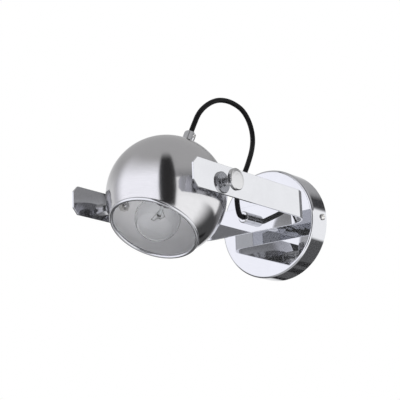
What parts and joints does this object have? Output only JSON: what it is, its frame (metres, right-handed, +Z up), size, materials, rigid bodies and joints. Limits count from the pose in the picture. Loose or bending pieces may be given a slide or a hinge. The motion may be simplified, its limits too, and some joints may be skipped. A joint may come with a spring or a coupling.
{
  "type": "pivoting wall spotlight",
  "caption": "Wall spotlight with a hollow ball head that tilts between the two arms of a flat strip yoke on a round wall rose, with a looped cable and a globe bulb.",
  "frame": {"origin": "centre of the wall rose on the wall plane, midway between the two wall slots", "axes": "+Z up, +Y into the wall, -Y into the room, +X to the right for someone who faces the wall"},
  "size_m": [0.174, 0.2627, 0.1889],
  "materials": {
    "mirror_chrome": "mirror polished chrome plate",
    "polished_rim": "polished bright bead",
    "satin_nickel": "fine satin, spun",
    "knob_steel": "satin face, turned",
    "bright_steel": "bright nickel plated",
    "zinc_steel": "zinc plated",
    "brass": "plain brass",
    "black_cable": "smooth black sheath, half gloss",
    "core_brown": "brown insulation",
    "core_blue": "blue insulation",
    "core_green": "green and yellow insulation",
    "terminal_nylon": "natural nylon",
    "holder_black": "moulded black",
    "ceramic_white": "glazed ceramic",
    "bulb_glass": "clear blown glass",
    "stem_glass": "clear pressed glass",
    "bulb_cap_metal": "rolled cap metal",
    "tungsten": "bare wire"
  },
  "bodies": {
    "wall_mount": {"wall_strap": "zinc_steel", "wall_rose": "mirror_chrome", "rose_screws": "bright_steel", "terminal_block": "terminal_nylon", "terminal_screws": "brass", "earth_screw": "brass", "live_core": "core_brown", "neutral_core": "core_blue", "earth_core": "core_green"},
    "yoke": {"stem_tube": "zinc_steel", "stem_sleeve": "mirror_chrome", "stem_washer": "zinc_steel", "stem_nut": "brass", "stem_cable": "black_cable", "yoke_strip": "mirror_chrome", "yoke_cord_grip": "mirror_chrome", "yoke_grip_screw": "bright_steel", "power_cable": "black_cable"},
    "head": {"lamp_shell": "satin_nickel", "rim_ring": "polished_rim", "pivot_spacer_near": "mirror_chrome", "pivot_spacer_far": "mirror_chrome", "pivot_nut_near": "zinc_steel", "pivot_nut_far": "zinc_steel", "head_tube": "zinc_steel", "head_washer": "zinc_steel", "head_nut": "brass", "head_cord_grip": "mirror_chrome", "head_grip_screw": "bright_steel", "head_cable": "black_cable", "holder_cap": "holder_black", "holder_skirt": "holder_black", "holder_insert": "ceramic_white", "holder_screw_shell": "brass", "holder_contact": "brass", "holder_live_core": "core_brown", "holder_neutral_core": "core_blue"},
    "bulb": {"bulb_glass": "bulb_glass", "bulb_cap": "bulb_cap_metal", "bulb_stem": "stem_glass", "bulb_filament": "tungsten"},
    "near_knob": {"thumbscrew_near": "knob_steel"},
    "far_knob": {"thumbscrew_far": "knob_steel"}
  },
  "joints": [
    {"name": "yoke_swivel", "type": "hinge", "parent": "wall_mount", "child": "yoke", "pos_m": [0, -0.04, 0], "axis": [0, 1, 0], "range_deg": [-90, 90]},
    {"name": "head_tilt", "type": "hinge", "parent": "yoke", "child": "head", "pos_m": [0, -0.202, 0], "axis": [1, 0, 0], "range_deg": [-60, 40], "deforming": ["power_cable"]},
    {"name": "bulb_turn", "type": "hinge", "parent": "head", "child": "bulb", "pos_m": [0, -0.202, 0], "axis": [0, 0.5, 0.866], "range_deg": [0, 360]},
    {"name": "near_knob_turn", "type": "hinge", "parent": "head", "child": "near_knob", "pos_m": [0.08, -0.202, 0], "axis": [1, 0, 0], "range_deg": [-180, 180]},
    {"name": "far_knob_turn", "type": "hinge", "parent": "head", "child": "far_knob", "pos_m": [-0.08, -0.202, 0], "axis": [-1, 0, 0], "range_deg": [-180, 180]}
  ]
}
